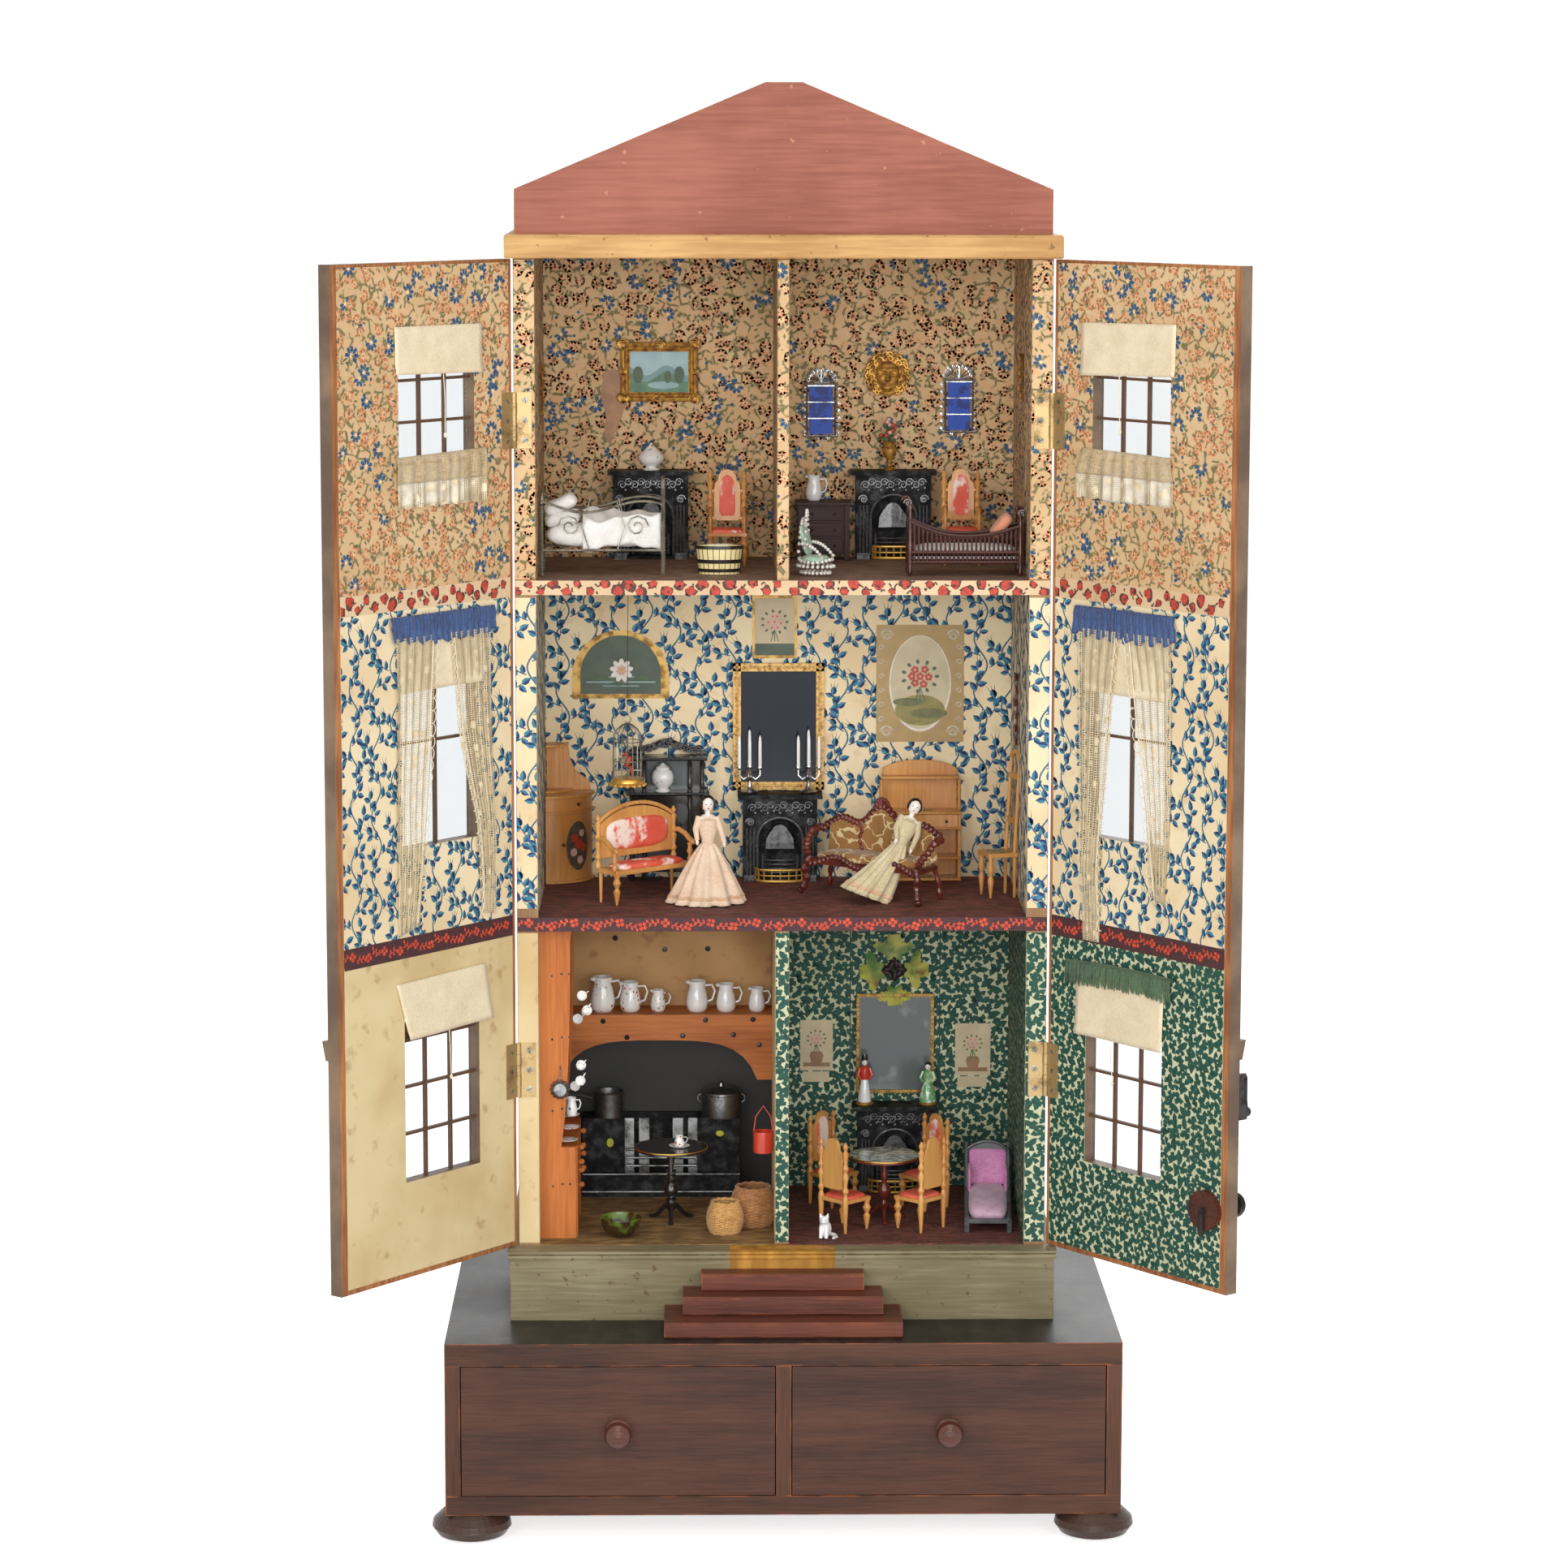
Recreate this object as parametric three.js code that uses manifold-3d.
// A three-storey wooden doll's house on a two-drawer stand, with both front doors standing open.
// Millimetres, +Z up. While it is built, x = 0 is the middle of the house, y = 0 the front of its
// side walls (+y goes into the rooms) and z = 0 the floor under the feet.
import * as THREE from "three";
import { mergeVertices } from "three/addons/utils/BufferGeometryUtils.js";
import Module from "manifold-3d";

const wasm = await Module();
wasm.setup();

// Clearances
const turnedGap = 0.3; // between neighbours in a turned group
const drawerGap = 1.0; // round a drawer front, each side
const doorGap = 1.0; // above and below a door

// Stand
const standWidth = 619.4;
const standFront = -106.8;
const standBack = 283;
const standTopThickness = 21;
const standBottomThickness = 18;
const standBoard = 14; // sides and middle divider
const standBackBoard = 12;
const footHeight = 25;
const footRadius = 36.5;
const footInset = 23; // from the stand's corner to the foot's axis
const drawerHeight = 121.1;
const drawerWall = 9;
const drawerBottom = 6;
const drawerFrontThickness = 16;
const drawerRunGap = 0.5; // the drawer slides this far above the bottom board
const drawerInset = 1; // drawer fronts lie this far behind the stand's edge
const drawerTail = 20; // empty space behind a closed drawer
const knobRadius = 12.5;
const knobSpigot = 4;

// Plinth and steps
const plinthHeight = 65.7;
const plinthFront = -22.7;
const plinthSide = 7.7; // how far it stands out past the side walls
const plinthBack = 7.8;
const plinthWall = 16;
const plinthBead = 2.2;
const plinthPocket = 11; // the house sits this deep in the plinth
const plinthFloor = 12;
const stepFronts = [-89.9, -64.4, -44.1];
const stepHeights = [14.7, 17.7, 16.4];
const stepWidths = [218.8, 184.6, 150.4];
const stepWorn = 1.6; // small chamfer on the steps' front edges

// House carcass
const houseWidth = 490;
const wallThickness = 19;
const roomDepth = 238;
const backThickness = 12;
const groundFloorThickness = 12;
const middleFloorThickness = 10.7;
const upperFloorThickness = 12.5;
const ceilingThickness = 19;
const kitchenHeight = 297.4;
const drawingRoomHeight = 300.4;
const bedroomHeight = 295.8;
const lowerPartitionThickness = 12.5;
const upperPartitionThickness = 10.5;

// Cornice, pediment and roof
const corniceFront = -24.5;
const corniceSide = 7;
const corniceHeight = 21.2;
const pedimentInset = 2; // from the house's sides to the pediment's ends
const pedimentThickness = 16;
const pedimentFront = -14;
const shoulderHeight = 40.6;
const apexHeight = 135.9;
const apexFlat = 33.6;
const roofWall = 9;

// Doors
const doorWidth = 242.3;
const doorThickness = 13;
const leftOpen = 127.7; // degrees from shut
const rightOpen = 127.0;
const pinInset = 0.5; // from the wall's outer face to the hinge pin's axis
const pinForward = 1.8; // from the wall's front face to the pin's axis
const doorEdge = 1.4; // from the pin's axis to the door's edge
const windowWidth = 103;
const windowMiddle = 104.9; // from the pin's axis
const upperSill = 77.7; // each sill's height above the floor of its room
const middleSill = 84.3;
const lowerSill = 88.2;
const upperWindowHeight = 148;
const middleWindowHeight = 187.8;
const lowerWindowHeight = 172.5;
const paneThickness = 1.2;
const paneDepth = 8.5; // from the door's inner face to the glass
const barWidth = 2.6;
const barDepth = 4;
const stringCourseBottom = 466;
const stringCourseHeight = 17.5;
const stringCourseTop = 7; // how far its top edge stands out
const stringCourseFoot = 3;

// Hinges
const hingeHeights = [419.5, 1021];
const hingeLength = 51;
const leafWidth = 16;
const leafThickness = 1.4;
const barrelRadius = 2.6;
const pinRadius = 1.2;
const knuckles = 5;
const knuckleGap = 0.3;

// Latch and knocker, on the right door
const latchDistance = 218.4; // from the pin's axis
const latchHeight = 327;
const roseRadius = 18.5;
const roseThickness = 6;
const spindleRadius = 2.5;
const latchArm = 23;
const latchArmWidth = 6;
const latchArmThickness = 2.5;
const latchKnobRadius = 11.5;
const latchKnobOut = 28;
const mortiseDepth = 3.9;
const mortiseHeight = 18;
const mortiseStart = 1.5; // behind the partition's front edge
const mortiseLength = 9;
const knockerHeight = 42;
const knockerWidth = 14;
const knockerThickness = 9.6;
const knockerTop = 453;
const knockerDrop = 5; // from the plate's top down to the hammer's pivot
const knockerPinDepth = 2.6; // from the plate's front back to the pin's axis
const knockerPinRadius = 1;
const knockerPinHalf = 6.2;
const knockerSlotHalf = 3.2;
const knockerSlotDepth = 5.4;
const knockerSlotBelow = 3.4; // how far the slot reaches below the pin
const knockerNeck = 2.2; // half width of the hammer's arm
const knockerHub = 2.7; // half length of the hub on the pin
const hammerLength = 34;
const ballRadius = 4.6;

// Kitchen: dresser on the left wall, mantelshelf with its arched board, and the range below it
const dresserFront = 25;
const dresserLength = 133;
const dresserBaseDepth = 35; // from the wall
const dresserBaseHeight = 87;
const dresserSide = 5;
const dresserSideFoot = 33.4;
const dresserSideWaist = 20;
const dresserSideTop = 29;
const dresserCurve = 60; // reach of the curve in its sides' front edge
const dresserCrown = 12; // the small cornice at the top of its sides
const dresserLip = 3;
const dresserShelf = 4;
const dresserShelfDepth = 22;
const dresserShelfHeights = [145, 205, 262];
const mantelTop = 180.7; // above the kitchen floor
const mantelDepth = 50;
const mantelThickness = 11;
const archBoardHeight = 53;
const archBoardThickness = 10;
const archPier = 14.6;
const archCrown = 14; // wood left above the arch
const archHaunch = 14; // from the pier to the curve's steep part
const archSweep = 60; // from the wall to where the curve runs level
const rangeWidth = 153;
const rangeMiddle = -114.5;
const rangeHeight = 75;
const rangeDepth = 33;
const rangeGrateWidth = 71;
const rangePlate = 4;
const fenderReach = 15;
const fenderHeight = 22;
const fenderWall = 3;

// Cast-iron fireplaces, all from one pattern
const fireplaceWidth = 72;
const fireplaceHeight = 85;
const fireplaceDepth = 26;
const fireplaceShelf = 82;
const fireplaceShelfDepth = 31;
const fireplaceShelfThickness = 4;
const fireplaceOpening = 44;
const fireplaceArchHeight = 62;
const fireplaceBackPlate = 3;
const bedroomLeftHearth = 102.8; // from the left wall to the fireplace's middle
const bedroomRightHearth = 116.3; // from the right wall
const drawingRoomHearth = 1.4; // from the middle of the house
const diningRoomHearth = 111.8; // from the right wall

// Seats and cot
const setteeLength = 95;
const setteeDepth = 32;
const setteeSeat = 31; // height of the seat board
const setteeCushion = 10;
const setteeBack = 91;
const setteePlace = { x: -153.4, y: 70.2, turn: 40 }; // its front left foot
const couchLength = 138;
const couchDepth = 42;
const couchSeat = 38;
const couchCushion = 8;
const couchBack = 88;
const couchPlace = { x: 27.5, y: 143, turn: -36.6 };
const seatBoard = 3;
const seatBackThickness = 6;
const cotLength = 106;
const cotDepth = 40;
const cotFront = 42;
const cotWallGap = 4; // from the right wall
const cotHeight = 70;
const cotBottom = 24;
const cotBoard = 4;
const cotScoop = 13;
const legRadius = 2.6;

// Levels worked out from the sizes above
const standBase = footHeight;
const drawerSpace = drawerHeight + drawerGap + drawerRunGap;
const standTop = standBase + standBottomThickness + drawerSpace + standTopThickness;
const plinthTop = standTop + plinthHeight;
const groundFloor = plinthTop + doorGap;
const carcassBase = groundFloor - groundFloorThickness;
const middleFloor = groundFloor + kitchenHeight + middleFloorThickness;
const upperFloor = middleFloor + drawingRoomHeight + upperFloorThickness;
const ceiling = upperFloor + bedroomHeight;
const corniceTop = ceiling + ceilingThickness;
const corniceBase = corniceTop - corniceHeight;
const knockerAxis = knockerTop - knockerDrop;
const doorTop = corniceBase - doorGap;
const halfHouse = houseWidth / 2;
const halfStand = standWidth / 2;
const innerHalf = halfHouse - wallThickness;
const houseBack = roomDepth + backThickness;
const pedimentWidth = houseWidth - 2 * pedimentInset;
const windowRows = [
  { name: "upper", bottom: upperFloor + upperSill, height: upperWindowHeight, rows: 4, columns: 3 },
  { name: "middle", bottom: middleFloor + middleSill, height: middleWindowHeight, rows: 2, columns: 2 },
  { name: "lower", bottom: groundFloor + lowerSill, height: lowerWindowHeight, rows: 4, columns: 3 },
];
const fireplaceMiddles = [
  { name: "bedroom_left", x: bedroomLeftHearth - innerHalf, floor: upperFloor },
  { name: "bedroom_right", x: innerHalf - bedroomRightHearth, floor: upperFloor },
  { name: "drawing_room", x: drawingRoomHearth, floor: middleFloor },
  { name: "dining_room", x: innerHalf - diningRoomHearth, floor: groundFloor },
];

// Colours of the finishes
const finishes = {
  stainedPine: { color: 0x4a261b, roughness: 0.5 },
  sagePaint: { color: 0x6d6c50, roughness: 0.6 },
  darkStep: { color: 0x4b241c, roughness: 0.5 },
  houseWood: { color: 0x8a6a48, roughness: 0.7 },
  ochrePaint: { color: 0xb98d4a, roughness: 0.6 },
  redPaint: { color: 0x9a5a50, roughness: 0.65 },
  brass: { color: 0xa08a4a, roughness: 0.4, metalness: 0.9 },
  iron: { color: 0x2c2a28, roughness: 0.5, metalness: 0.7 },
  darkPaint: { color: 0x2b2f27, roughness: 0.5 },
  glass: { color: 0xdfe6e6, roughness: 0.05, transparent: true, opacity: 0.25 },
  castIron: { color: 0x1d1c1c, roughness: 0.45, metalness: 0.4 },
  orangePine: { color: 0xb8672c, roughness: 0.6 },
  yellowWood: { color: 0xc08a45, roughness: 0.5 },
  darkWood: { color: 0x3a1a14, roughness: 0.4 },
};

// Solids: three.js geometry in, geometry out, joined and cut by manifold-3d
function toSolid(geometry) {
  const bare = geometry.clone();
  bare.deleteAttribute("normal");
  bare.deleteAttribute("uv");
  const merged = mergeVertices(bare, 1e-4);
  return new wasm.Manifold(
    new wasm.Mesh({
      numProp: 3,
      vertProperties: new Float32Array(merged.attributes.position.array),
      triVerts: new Uint32Array(merged.index.array),
    }),
  );
}

function toGeometry(solid) {
  const mesh = solid.getMesh();
  const geometry = new THREE.BufferGeometry();
  geometry.setAttribute("position", new THREE.BufferAttribute(mesh.vertProperties, 3));
  geometry.setIndex(new THREE.BufferAttribute(mesh.triVerts, 1));
  geometry.computeVertexNormals();
  return geometry;
}

function join(...pieces) {
  return toGeometry(pieces.map(toSolid).reduce((all, next) => all.add(next)));
}

function cut(body, ...tools) {
  return toGeometry(tools.map(toSolid).reduce((rest, tool) => rest.subtract(tool), toSolid(body)));
}

// A box between two corners, given as ranges along x, y and z
function box([x0, x1], [y0, y1], [z0, z1]) {
  const geometry = new THREE.BoxGeometry(Math.abs(x1 - x0), y1 - y0, z1 - z0);
  return geometry.translate((x0 + x1) / 2, (y0 + y1) / 2, (z0 + z1) / 2);
}

function outline(points) {
  return new THREE.Shape(points.map(([a, b]) => new THREE.Vector2(a, b)));
}

// An outline in x and z, carried along y
function prismY(shape, [y0, y1], curveSegments = 12) {
  const options = { depth: y1 - y0, bevelEnabled: false, curveSegments };
  return new THREE.ExtrudeGeometry(shape, options).rotateX(Math.PI / 2).translate(0, y1, 0);
}

// An outline in y and z, carried along x
function prismX(shape, [x0, x1]) {
  const turn = new THREE.Matrix4().makeBasis(
    new THREE.Vector3(0, 1, 0),
    new THREE.Vector3(0, 0, 1),
    new THREE.Vector3(1, 0, 0),
  );
  const geometry = new THREE.ExtrudeGeometry(shape, { depth: x1 - x0, bevelEnabled: false });
  return geometry.applyMatrix4(turn).translate(x0, 0, 0);
}

// A turned piece: its profile of radius and height runs up from the axis and back to it
function turned(profile, segments = 24) {
  const points = profile.map(([r, z]) => new THREE.Vector2(r, z));
  return new THREE.LatheGeometry(points, segments).rotateX(Math.PI / 2);
}

function cylinderZ(radius, [z0, z1], segments = 20) {
  return turned([[0, z0], [radius, z0], [radius, z1], [0, z1]], segments);
}

// The same turned piece lying along -y, its foot at y = 0
function turnedForward(profile, segments = 24) {
  return turned(profile, segments).rotateX(Math.PI / 2);
}

// A block whose front, sides and back all follow one profile of [projection, height], mitred
function mouldedBlock(profile, half, [front, back], baseHeight, plainBack = false) {
  const heights = profile.map(([out, up]) => [out, baseHeight + up]);
  const flipped = [...heights].reverse();
  const across = outline([
    ...heights.map(([out, z]) => [half + out, z]),
    ...flipped.map(([out, z]) => [-half - out, z]),
  ]);
  const along = outline([
    ...heights.map(([out, z]) => [plainBack ? back : back + out, z]),
    ...flipped.map(([out, z]) => [front - out, z]),
  ]);
  const reach = 60;
  const wide = prismY(across, [front - reach, back + reach]);
  const deep = prismX(along, [-half - reach, half + reach]);
  return toGeometry(toSolid(wide).intersect(toSolid(deep)));
}

const house = new THREE.Group();

function addMesh(group, name, geometry, finish) {
  const material = new THREE.MeshStandardMaterial({ name: finish, ...finishes[finish] });
  const mesh = new THREE.Mesh(geometry, material);
  mesh.name = name;
  group.add(mesh);
  return mesh;
}

// Stand: a box of boards on four bun feet
function addStand() {
  const low = standBase + standBottomThickness;
  const high = low + drawerSpace;
  const wide = [-halfStand, halfStand];
  const deep = [standFront, standBack];
  const inside = [standFront, standBack - standBackBoard];
  addMesh(house, "stand_bottom", box(wide, deep, [standBase, low]), "stainedPine");
  addMesh(house, "stand_top", box(wide, deep, [high, standTop]), "stainedPine");
  for (const [name, side] of [["left", -1], ["right", 1]]) {
    const faces = [side * halfStand, side * (halfStand - standBoard)];
    addMesh(house, "stand_side_" + name, box(faces, deep, [low, high]), "stainedPine");
  }
  const half = standBoard / 2;
  addMesh(house, "stand_divider", box([-half, half], inside, [low, high]), "stainedPine");
  const inner = halfStand - standBoard;
  const backRange = [standBack - standBackBoard, standBack];
  addMesh(house, "stand_back", box([-inner, inner], backRange, [low, high]), "stainedPine");
  const bun = [[0, 0], [footRadius * 0.62, 0], [footRadius * 0.85, footHeight * 0.12]];
  bun.push([footRadius, footHeight * 0.42], [footRadius * 0.97, footHeight * 0.66]);
  bun.push([footRadius * 0.8, footHeight * 0.9], [footRadius * 0.72, footHeight], [0, footHeight]);
  for (const [side, x] of [["left", -1], ["right", 1]]) {
    for (const [end, y] of [["front", standFront + footInset], ["back", standBack - footInset]]) {
      const foot = turned(bun, 32).translate(x * (halfStand - footInset), y, 0);
      addMesh(house, "foot_" + end + "_" + side, foot, "stainedPine");
    }
  }
}

// Drawers: an open tray behind a thicker front, with a turned knob let into it
function addDrawers() {
  const low = standBase + standBottomThickness + drawerRunGap;
  const high = low + drawerHeight;
  const bay = halfStand - standBoard - standBoard / 2;
  const front = standFront + drawerInset;
  const tail = standBack - standBackBoard - drawerTail;
  for (const [name, side] of [["left", -1], ["right", 1]]) {
    const middle = side * (standBoard / 2 + bay / 2);
    const half = bay / 2 - drawerGap;
    const knobHeight = (low + high) / 2;
    const blank = box([middle - half, middle + half], [front, tail], [low, high]);
    const hollow = box(
      [middle - half + drawerWall, middle + half - drawerWall],
      [front + drawerFrontThickness, tail - drawerWall],
      [low + drawerBottom, high + 1],
    );
    const bore = turnedForward([
      [0, -drawerFrontThickness - 1],
      [knobSpigot + turnedGap, -drawerFrontThickness - 1],
      [knobSpigot + turnedGap, 1],
      [0, 1],
    ]).translate(middle, front, knobHeight);
    const tray = cut(blank, hollow, bore);
    addMesh(house, "drawer_" + name, tray, "stainedPine");
    const neck = knobRadius * 0.62;
    const knob = turnedForward([
      [0, -drawerFrontThickness],
      [knobSpigot, -drawerFrontThickness],
      [knobSpigot, turnedGap],
      [knobRadius * 0.9, turnedGap],
      [knobRadius * 0.94, 2],
      [neck, 4.5],
      [knobRadius * 0.86, 8],
      [knobRadius, 13],
      [knobRadius * 0.86, 18],
      [knobRadius * 0.5, 21.5],
      [0, 22.5],
    ]).translate(middle, front, knobHeight);
    addMesh(house, "drawer_knob_" + name, knob, "stainedPine");
  }
}

// Plinth: a moulded block with a pocket on top for the house, hollow underneath
function addPlinth() {
  const top = plinthHeight;
  const bead = top - 6;
  const half = halfHouse + plinthSide;
  const back = houseBack + plinthBack;
  const profile = [[0, 0], [0, bead - 2.5], [plinthBead * 0.7, bead - 2], [plinthBead, bead]];
  profile.push([plinthBead * 0.7, bead + 2], [0.6, bead + 2.6], [plinthBead, bead + 3.6]);
  profile.push([plinthBead, top]);
  const blank = mouldedBlock(profile, half, [plinthFront, back], standTop);
  const pocket = box(
    [-halfHouse - turnedGap, halfHouse + turnedGap],
    [-turnedGap, houseBack + turnedGap],
    [carcassBase, plinthTop + 1],
  );
  const under = box(
    [-half + plinthWall, half - plinthWall],
    [plinthFront + plinthWall, back - plinthWall],
    [standTop - 1, carcassBase - plinthFloor],
  );
  addMesh(house, "plinth", cut(blank, pocket, under), "sagePaint");
}

function addSteps() {
  let low = standTop;
  ["lower", "middle", "upper"].forEach((name, i) => {
    const high = low + stepHeights[i];
    const front = stepFronts[i];
    const side = outline([
      [front + stepWorn, low],
      [plinthFront, low],
      [plinthFront, high],
      [front + stepWorn, high],
      [front, high - stepWorn],
      [front, low + stepWorn],
    ]);
    const half = stepWidths[i] / 2;
    addMesh(house, "step_" + name, prismX(side, [-half, half]), "darkStep");
    low = high;
  });
}

// Carcass: walls, back, floors and partitions of plain boards
function addCarcass() {
  const across = [-innerHalf, innerHalf];
  const rooms = [0, roomDepth];
  for (const [name, side] of [["left", -1], ["right", 1]]) {
    const blank = box([side * halfHouse, side * innerHalf], [0, houseBack], [carcassBase, ceiling]);
    const recesses = hingeHeights.map((height) => barrelRecess(height).translate(pinX(side), 0, 0));
    addMesh(house, "side_wall_" + name, cut(blank, ...recesses), "houseWood");
  }
  const back = box(across, [roomDepth, houseBack], [carcassBase, ceiling]);
  addMesh(house, "back_panel", back, "houseWood");
  const floors = [
    ["ground_floor", groundFloor, groundFloorThickness],
    ["middle_floor", middleFloor, middleFloorThickness],
    ["upper_floor", upperFloor, upperFloorThickness],
  ];
  for (const [name, top, thickness] of floors) {
    addMesh(house, name, box(across, rooms, [top - thickness, top]), "houseWood");
  }
  const ceilingBoard = box([-halfHouse, halfHouse], [0, houseBack], [ceiling, corniceTop]);
  addMesh(house, "ceiling_board", ceilingBoard, "houseWood");
  const upperHalf = upperPartitionThickness / 2;
  const upper = box([-upperHalf, upperHalf], rooms, [upperFloor, ceiling]);
  addMesh(house, "upper_partition", upper, "houseWood");
  const lowerHalf = lowerPartitionThickness / 2;
  const lower = box([-lowerHalf, lowerHalf], rooms, [groundFloor, middleFloor - middleFloorThickness]);
  const mortise = box(
    [lowerHalf - mortiseDepth, lowerHalf + 1],
    [mortiseStart, mortiseStart + mortiseLength],
    [latchHeight - mortiseHeight / 2, latchHeight + mortiseHeight / 2],
  );
  addMesh(house, "lower_partition", cut(lower, mortise), "houseWood");
}

// Cornice round the front and sides, pediment board and the hollow roof behind it
function addRoof() {
  const profile = [[-1.2, 0], [0, 1.2], [0, corniceHeight - 2], [-1.2, corniceHeight]];
  const half = halfHouse + corniceSide;
  const blank = mouldedBlock(profile, half, [corniceFront, houseBack], corniceBase, true);
  const core = box(
    [-halfHouse, halfHouse],
    [0, houseBack + 1],
    [corniceBase - 1, corniceTop + 1],
  );
  addMesh(house, "cornice", cut(blank, core), "ochrePaint");
  const gable = (inset) => {
    const wide = pedimentWidth / 2 - inset;
    const shoulder = corniceTop + shoulderHeight - inset * 0.6;
    const apex = corniceTop + apexHeight - inset * 1.1;
    const flat = apexFlat / 2 - inset * 0.2;
    const base = corniceTop - (inset > 0 ? 1 : 0);
    return outline([[-wide, base], [wide, base], [wide, shoulder], [flat, apex], [-flat, apex],
      [-wide, shoulder]]);
  };
  const front = pedimentFront;
  const rear = front + pedimentThickness;
  addMesh(house, "pediment", prismY(gable(0), [front, rear]), "redPaint");
  const roof = cut(
    prismY(gable(0), [rear, houseBack]),
    prismY(gable(roofWall), [rear - 1, houseBack - roofWall]),
  );
  addMesh(house, "roof", roof, "redPaint");
}

// Hinges: knuckles share one pin; the wall leaf holds the pin and the odd knuckles
function pinX(side) {
  return side * (halfHouse - pinInset);
}

function barrelRecess(height) {
  const reach = hingeLength / 2 + turnedGap;
  const radius = barrelRadius + turnedGap;
  return cylinderZ(radius, [height - reach, height + reach]).translate(0, -pinForward, 0);
}

// A leaf lying on the -x side of a pin at the origin, between two depths
function hingeLeaf(height, [y0, y1], first, holdsPin) {
  const pitch = hingeLength / knuckles;
  const base = height - hingeLength / 2;
  const clear = barrelRadius + turnedGap;
  const parts = [box([-leafWidth, -clear], [y0, y1], [base, base + hingeLength])];
  for (let i = first; i < knuckles; i += 2) {
    const span = [base + i * pitch, base + (i + 1) * pitch];
    if (i > 0) span[0] += knuckleGap / 2;
    if (i < knuckles - 1) span[1] -= knuckleGap / 2;
    parts.push(cylinderZ(barrelRadius, span));
    parts.push(box([-clear - 0.2, -pinRadius - 2 * turnedGap], [y0, y1], span));
  }
  if (holdsPin) {
    parts.push(cylinderZ(pinRadius, [base, base + hingeLength]));
    return join(...parts);
  }
  return cut(join(...parts), cylinderZ(pinRadius + turnedGap, [base - 1, base + hingeLength + 1]));
}

// Mirrors a geometry in x and turns its faces back outwards
function mirrored(geometry) {
  const solid = toSolid(geometry);
  return toGeometry(solid.mirror([1, 0, 0]));
}

function onSide(geometry, side) {
  return side > 0 ? geometry : mirrored(geometry);
}

function addWallLeaves() {
  for (const [name, side] of [["left", -1], ["right", 1]]) {
    hingeHeights.forEach((height, i) => {
      const leaf = hingeLeaf(height, [pinForward - leafThickness, pinForward], 0, true);
      const placed = onSide(leaf, side).translate(pinX(side), -pinForward, 0);
      addMesh(house, "wall_leaf_" + ["lower", "upper"][i] + "_" + name, placed, "brass");
    });
  }
}

// A door is drawn shut, with its pin at the origin, and its group stands at the pin, turned open.
// Distances run along the door from the pin, and depths from its inner face outwards.
function addDoor(name, side, open) {
  const group = new THREE.Group();
  group.position.set(pinX(side), -pinForward, 0);
  group.rotation.z = side * THREE.MathUtils.degToRad(open);
  house.add(group);
  const span = (near, far) => [-far, -near];
  const depth = (near, far) => [-pinForward - far, -pinForward - near];
  const windowSpan = span(windowMiddle - windowWidth / 2, windowMiddle + windowWidth / 2);

  const leaf = box(span(doorEdge, doorEdge + doorWidth), depth(0, doorThickness), [groundFloor, doorTop]);
  const outer = -pinForward - doorThickness;
  const courseTop = stringCourseBottom + stringCourseHeight;
  const course = outline([[outer + 1, stringCourseBottom], [outer + 1, courseTop],
    [outer - stringCourseTop, courseTop], [outer - stringCourseFoot, stringCourseBottom]]);
  const doorSpan = span(doorEdge, doorEdge + doorWidth);
  const tools = windowRows.map(({ bottom, height }) =>
    box(windowSpan, depth(-1, doorThickness + 1), [bottom, bottom + height]),
  );
  for (const height of hingeHeights) tools.push(barrelRecess(height).translate(0, pinForward, 0));
  if (side > 0) tools.push(latchSpindle(spindleRadius + turnedGap, [-1, doorThickness + 1]));
  const body = cut(join(leaf, prismX(course, doorSpan)), ...tools);
  addMesh(group, "door_" + name, onSide(body, side), "redPaint");

  for (const { name: level, bottom, height, rows, columns } of windowRows) {
    const inset = turnedGap;
    const pane = box(
      [windowSpan[0] + inset, windowSpan[1] - inset],
      depth(paneDepth, paneDepth + paneThickness),
      [bottom + inset, bottom + height - inset],
    );
    const bars = [pane];
    const barRange = depth(paneDepth - barDepth, paneDepth + 0.2);
    for (let c = 1; c < columns; c++) {
      const x = windowSpan[0] + (windowWidth * c) / columns;
      bars.push(box([x - barWidth / 2, x + barWidth / 2], barRange, [bottom + inset, bottom + height - inset]));
    }
    for (let r = 1; r < rows; r++) {
      const z = bottom + (height * r) / rows;
      bars.push(box([windowSpan[0] + inset, windowSpan[1] - inset], barRange, [z - barWidth / 2, z + barWidth / 2]));
    }
    addMesh(group, "window_" + level + "_" + name, onSide(join(...bars), side), "glass");
  }
  hingeHeights.forEach((height, i) => {
    const lift = pinForward - turnedGap;
    const plate = hingeLeaf(height, [-lift, -lift + leafThickness], 1, false);
    addMesh(group, "door_leaf_" + ["lower", "upper"][i] + "_" + name, onSide(plate, side), "brass");
  });
  return group;
}

// A cylinder through the right door on the latch's axis, between two depths
function latchSpindle(radius, [near, far], segments = 24) {
  return turnedForward([[0, near], [radius, near], [radius, far], [0, far]], segments).translate(
    -latchDistance,
    -pinForward,
    latchHeight,
  );
}

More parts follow.
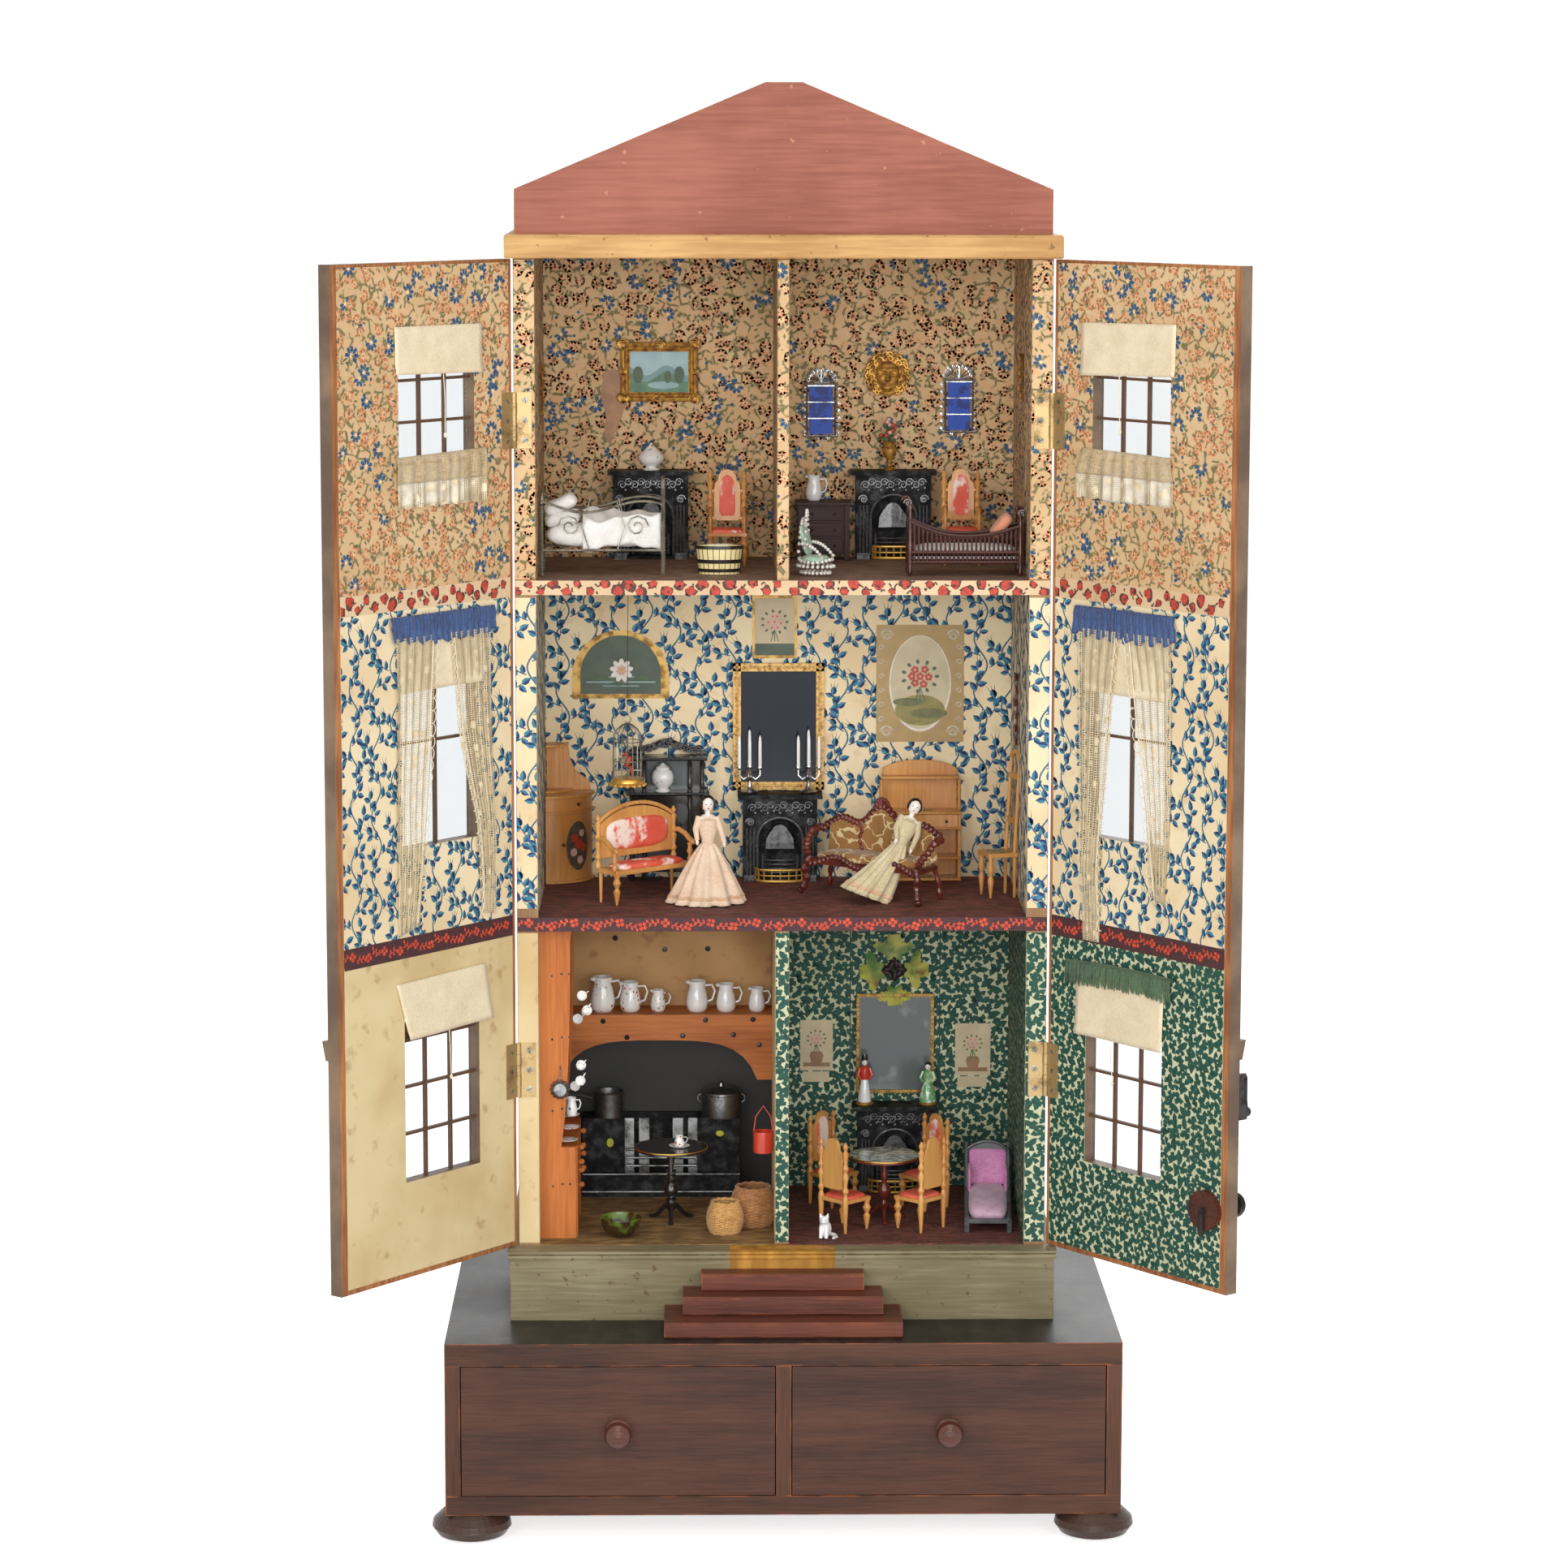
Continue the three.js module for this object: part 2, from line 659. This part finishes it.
function addLatch(door) {
  const roseNear = -turnedGap - roseThickness;
  const rose = cut(
    latchSpindle(roseRadius, [roseNear, -turnedGap], 36),
    latchSpindle(spindleRadius + turnedGap, [roseNear - 1, 1]),
  );
  addMesh(door, "latch_rose", rose, "darkWood");
  const armFar = roseNear - turnedGap;
  const armNear = armFar - latchArmThickness;
  const half = latchArmWidth / 2;
  const arm = new THREE.Shape();
  arm.absarc(0, 0, half, 0, Math.PI, false);
  arm.absarc(0, half - latchArm, half, Math.PI, 2 * Math.PI, false);
  const out = doorThickness + latchKnobOut;
  const neck = doorThickness + turnedGap;
  const knob = turnedForward([
    [0, armNear + 0.5],
    [spindleRadius, armNear + 0.5],
    [spindleRadius, neck],
    [latchKnobRadius * 0.75, neck],
    [latchKnobRadius * 0.7, neck + 2],
    [latchKnobRadius * 0.4, neck + 6],
    [latchKnobRadius * 0.42, out - 12],
    [latchKnobRadius * 0.9, out - 9],
    [latchKnobRadius, out - 6],
    [latchKnobRadius * 0.86, out - 3],
    [latchKnobRadius * 0.5, out - 0.7],
    [0, out],
  ]).translate(-latchDistance, -pinForward, latchHeight);
  const hook = prismY(arm, [-pinForward - armFar, -pinForward - armNear]).translate(-latchDistance, 0, latchHeight);
  addMesh(door, "latch_turn", join(knob, hook), "iron");
}

// Knocker by the door's free edge: a backplate with two ears and a hammer that hangs on its pin
function addKnocker(door) {
  const far = doorEdge + doorWidth;
  const plateSpan = [-far, -far + knockerWidth];
  const middle = -far + knockerWidth / 2;
  const face = -pinForward - doorThickness - turnedGap;
  const low = knockerTop - knockerHeight;
  const side = outline([[face, low], [face, knockerTop], [face - knockerThickness * 0.8, knockerTop],
    [face - knockerThickness, knockerTop - 4], [face - knockerThickness, low]]);
  const rod = (radius, half) =>
    turned([[0, -half], [radius, -half], [radius, half], [0, half]], 16).rotateY(Math.PI / 2);
  const pinHole = rod(knockerPinRadius + turnedGap, knockerWidth);
  const axis = [face - knockerThickness + knockerPinDepth, knockerAxis];
  const slot = box(
    [middle - knockerSlotHalf, middle + knockerSlotHalf],
    [face - knockerThickness - 1, face - knockerThickness + knockerSlotDepth],
    [knockerAxis - knockerSlotBelow, knockerTop + 1],
  );
  const plate = cut(prismX(side, plateSpan), slot, pinHole.translate(middle, axis[0], axis[1]));
  addMesh(door, "knocker_plate", plate, "iron");
  const pin = rod(knockerPinRadius, knockerPinHalf);
  const hub = rod(knockerNeck, knockerHub);
  const armSide = outline([[1.2, 0], [-3.6, 0.8], [-8.8, 4 - hammerLength], [-5, 4 - hammerLength],
    [-3, -3]]);
  const arm = prismX(armSide, [-knockerNeck, knockerNeck]);
  const ball = new THREE.SphereGeometry(ballRadius, 20, 12);
  ball.translate(0, -ballRadius - 3.4, -hammerLength + 2);
  const hammer = join(pin, hub, arm, ball).translate(middle, axis[0], axis[1]);
  addMesh(door, "knocker_hammer", hammer, "iron");
}

// A fireplace surround with an arched opening, a back plate, a hearth and a mantelshelf
function fireplace(middle, floor) {
  const half = fireplaceWidth / 2;
  const opening = fireplaceOpening / 2;
  const underShelf = fireplaceHeight - fireplaceShelfThickness;
  const front = outline([[-half, 0], [half, 0], [half, underShelf], [-half, underShelf]]);
  const hole = new THREE.Shape();
  hole.moveTo(-opening, fireplaceBackPlate);
  hole.lineTo(opening, fireplaceBackPlate);
  hole.lineTo(opening, fireplaceArchHeight - opening);
  hole.absarc(0, fireplaceArchHeight - opening, opening, 0, Math.PI, false);
  const back = roomDepth;
  const surround = prismY(front, [back - fireplaceDepth, back]);
  const firebox = prismY(hole, [back - fireplaceDepth - 1, back - fireplaceBackPlate], 8);
  const shelf = box(
    [-fireplaceShelf / 2, fireplaceShelf / 2],
    [back - fireplaceShelfDepth, back],
    [underShelf - 0.2, fireplaceHeight],
  );
  return join(cut(surround, firebox), shelf).translate(middle, 0, floor);
}

function addFireplaces() {
  for (const { name, x, floor } of fireplaceMiddles) {
    addMesh(house, "fireplace_" + name, fireplace(x, floor), "castIron");
  }
}

function addKitchen() {
  const wall = -innerHalf;
  const end = dresserFront + dresserLength;
  const high = middleFloor - middleFloorThickness - groundFloor;
  const side = new THREE.Shape();
  side.moveTo(0, 0);
  side.lineTo(dresserSideFoot, 0);
  side.lineTo(dresserSideFoot, dresserBaseHeight);
  side.lineTo(dresserSideWaist, dresserBaseHeight);
  side.quadraticCurveTo(dresserSideTop, dresserBaseHeight + dresserCurve, dresserSideTop,
    high - dresserCrown);
  side.lineTo(dresserSideTop + dresserLip, high);
  side.lineTo(0, high);
  const parts = [dresserFront, end - dresserSide].map((y) => prismY(side, [y, y + dresserSide], 5));
  const within = [dresserFront + dresserSide - 0.2, end - dresserSide + 0.2];
  parts.push(box([0, dresserBaseDepth], within, [0, dresserBaseHeight]));
  for (const height of dresserShelfHeights) {
    parts.push(box([0, dresserShelfDepth], within, [height, height + dresserShelf]));
  }
  const dresser = join(...parts).translate(wall, 0, groundFloor);
  addMesh(house, "kitchen_dresser", dresser, "orangePine");

  const right = -lowerPartitionThickness / 2;
  const front = roomDepth - mantelDepth;
  const top = groundFloor + mantelTop;
  const base = top - mantelThickness - archBoardHeight;
  const crown = top - mantelThickness - archCrown;
  const board = new THREE.Shape();
  board.moveTo(wall, base);
  board.lineTo(wall + archPier, base);
  board.bezierCurveTo(wall + archPier + archHaunch, crown, wall + archSweep, crown, (wall + right) / 2, crown);
  board.bezierCurveTo(right - archSweep, crown, right - archPier - archHaunch, crown, right - archPier, base);
  board.lineTo(right, base);
  board.lineTo(right, top);
  board.lineTo(wall, top);
  const shelf = box([wall, right], [front, roomDepth], [top - mantelThickness, top]);
  const arch = prismY(board, [front, front + archBoardThickness], 8);
  addMesh(house, "kitchen_mantel", join(arch, shelf), "orangePine");

  const half = rangeWidth / 2;
  const grate = rangeGrateWidth / 2;
  const hobs = roomDepth - rangeDepth;
  const fender = hobs - fenderReach;
  const pieces = [box([-half, half], [roomDepth - rangePlate, roomDepth], [0, rangeHeight])];
  pieces.push(box([-half, half], [fender, roomDepth], [0, rangePlate]));
  for (const x of [-1, 1]) {
    pieces.push(box([x * half, x * grate], [hobs, roomDepth], [0, rangeHeight]));
    pieces.push(box([x * half, x * (half - fenderWall)], [fender, hobs + 1], [0, fenderHeight]));
  }
  pieces.push(box([-half, half], [fender, fender + fenderWall], [0, fenderHeight]));
  const range = join(...pieces).translate(rangeMiddle, 0, groundFloor);
  addMesh(house, "kitchen_range", range, "castIron");
}

// A seat on four legs with a shaped back: its front left foot stands at the group's origin
function addSeat(name, place, floor, size, finish) {
  const group = new THREE.Group();
  group.position.set(place.x, place.y, floor + turnedGap);
  group.rotation.z = THREE.MathUtils.degToRad(place.turn);
  house.add(group);
  const { length, depth, seat, cushion, back, rise } = size;
  const parts = [];
  for (const x of [0, length - 10]) {
    for (const y of [0, depth - 8]) parts.push(cylinderZ(legRadius, [0, seat + 1], 10).translate(x, y, 0));
  }
  const span = [-5, length - 5];
  parts.push(box(span, [-4, depth - 4], [seat, seat + seatBoard]));
  parts.push(box([span[0] + 5, span[1] - 5], [-2, depth - 8], [seat + seatBoard - 0.2, seat + seatBoard + cushion]));
  const shape = new THREE.Shape();
  shape.moveTo(span[0], seat);
  shape.lineTo(span[1], seat);
  shape.lineTo(span[1], back * 0.8);
  shape.bezierCurveTo(span[1] - 6, back * 0.95, length * 0.62, back * 0.9, length * rise, back);
  shape.bezierCurveTo(length * 0.3, back * 0.9, span[0] + 6, back * 0.9, span[0], back * 0.72);
  parts.push(prismY(shape, [depth - 4 - seatBackThickness, depth - 4], 5));
  for (const x of span) {
    const inner = x < 0 ? [x, x + seatBoard] : [x - seatBoard, x];
    parts.push(box(inner, [4, depth - 4], [seat, seat + cushion + 12]));
  }
  addMesh(group, name, join(...parts), finish);
}

// A cot with scooped sides, open at the top
function addCot() {
  const right = innerHalf - cotWallGap;
  const left = right - cotLength;
  const side = new THREE.Shape();
  side.moveTo(left, cotBottom);
  side.lineTo(right, cotBottom);
  side.lineTo(right, cotHeight - 8);
  side.quadraticCurveTo((left + right) / 2, cotHeight - 8 - 2 * cotScoop, left, cotHeight - 8);
  const back = cotFront + cotDepth;
  const parts = [cotFront, back - cotBoard].map((y) => prismY(side, [y, y + cotBoard], 10));
  for (const x of [left, right - cotBoard]) {
    parts.push(box([x, x + cotBoard], [cotFront, back], [cotBottom, cotHeight]));
    for (const y of [cotFront + legRadius, back - legRadius]) {
      parts.push(cylinderZ(legRadius, [0, cotBottom + 2], 10).translate(x + cotBoard / 2, y, 0));
    }
  }
  parts.push(box([left, right], [cotFront, back], [cotBottom, cotBottom + cotBoard]));
  addMesh(house, "cot", join(...parts).translate(0, 0, upperFloor), "darkWood");
}

addStand();
addDrawers();
addPlinth();
addSteps();
addCarcass();
addRoof();
addWallLeaves();
addDoor("left", -1, leftOpen);
const rightDoor = addDoor("right", 1, rightOpen);
addLatch(rightDoor);
addKnocker(rightDoor);
addKitchen();
addFireplaces();
addSeat("settee", setteePlace, middleFloor, {
  length: setteeLength, depth: setteeDepth, seat: setteeSeat, cushion: setteeCushion,
  back: setteeBack, rise: 0.45,
}, "yellowWood");
addSeat("couch", couchPlace, middleFloor, {
  length: couchLength, depth: couchDepth, seat: couchSeat, cushion: couchCushion,
  back: couchBack, rise: 0.6,
}, "darkWood");
addCot();

// The part's origin is at the middle of its base
const bounds = new THREE.Box3().setFromObject(house, true);
const middle = bounds.getCenter(new THREE.Vector3());
house.position.set(-middle.x, -middle.y, -bounds.min.z);
const part = new THREE.Group();
part.add(house);

export default part;
